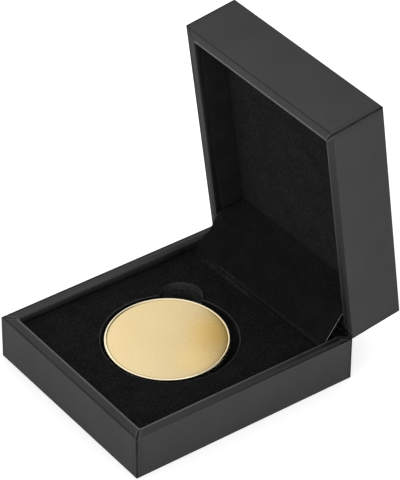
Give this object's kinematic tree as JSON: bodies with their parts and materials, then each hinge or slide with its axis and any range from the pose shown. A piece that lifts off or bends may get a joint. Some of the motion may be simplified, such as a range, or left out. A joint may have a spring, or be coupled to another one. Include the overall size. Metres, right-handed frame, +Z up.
{
  "type": "coin display case",
  "caption": "Hinged box wrapped in dark leatherette, standing open, with a velvet insert that holds a blank gold disc in a round recess with a thumb notch.",
  "frame": {"origin": "centre of the base's underside", "axes": "+X to the case's right, -Y to its front, +Z up; the hinge is at +Y and the lid stands open"},
  "size_m": [0.09, 0.1245, 0.1226],
  "materials": {
    "leatherette": "soft-touch, matte, very fine grain",
    "velvet": "short-pile black velvet",
    "greyboard": "raw card",
    "foam": "dense foam",
    "cover_paper": "matte paper",
    "steel": "nickel-plated, satin",
    "gold": "gold-plated, polished, blank"
  },
  "bodies": {
    "base": {"base_board": "greyboard", "base_front_wall": "greyboard", "base_rear_wall": "greyboard", "base_left_wall": "greyboard", "base_right_wall": "greyboard", "base_wrap": "leatherette", "base_bottom_cover": "cover_paper", "insert_support": "foam", "insert_floor_lining": "velvet", "insert_block": "velvet", "hinge_flap": "velvet", "hinge_leaf_base": "steel", "hinge_pin": "steel", "base_rivet_left": "steel", "base_rivet_right": "steel"},
    "lid": {"lid_board": "greyboard", "lid_front_wall": "greyboard", "lid_rear_wall": "greyboard", "lid_left_wall": "greyboard", "lid_right_wall": "greyboard", "lid_wrap": "leatherette", "lid_pad": "velvet", "lid_lining_left": "velvet", "lid_lining_right": "velvet", "lid_lining_front": "velvet", "hinge_leaf_lid": "steel", "lid_rivet_left": "steel", "lid_rivet_right": "steel"},
    "coin": {"coin": "gold"}
  },
  "joints": [
    {"name": "lid_hinge", "type": "hinge", "parent": "base", "child": "lid", "pos_m": [0, 0.05065, 0.01905], "axis": [1, 0, 0], "range_deg": [0, 82.2], "deforming": ["hinge_flap"]},
    {"name": "coin_lift", "type": "slide", "parent": "base", "child": "coin", "axis": [0, 0, 1], "range_m": [0, 0.012]}
  ]
}
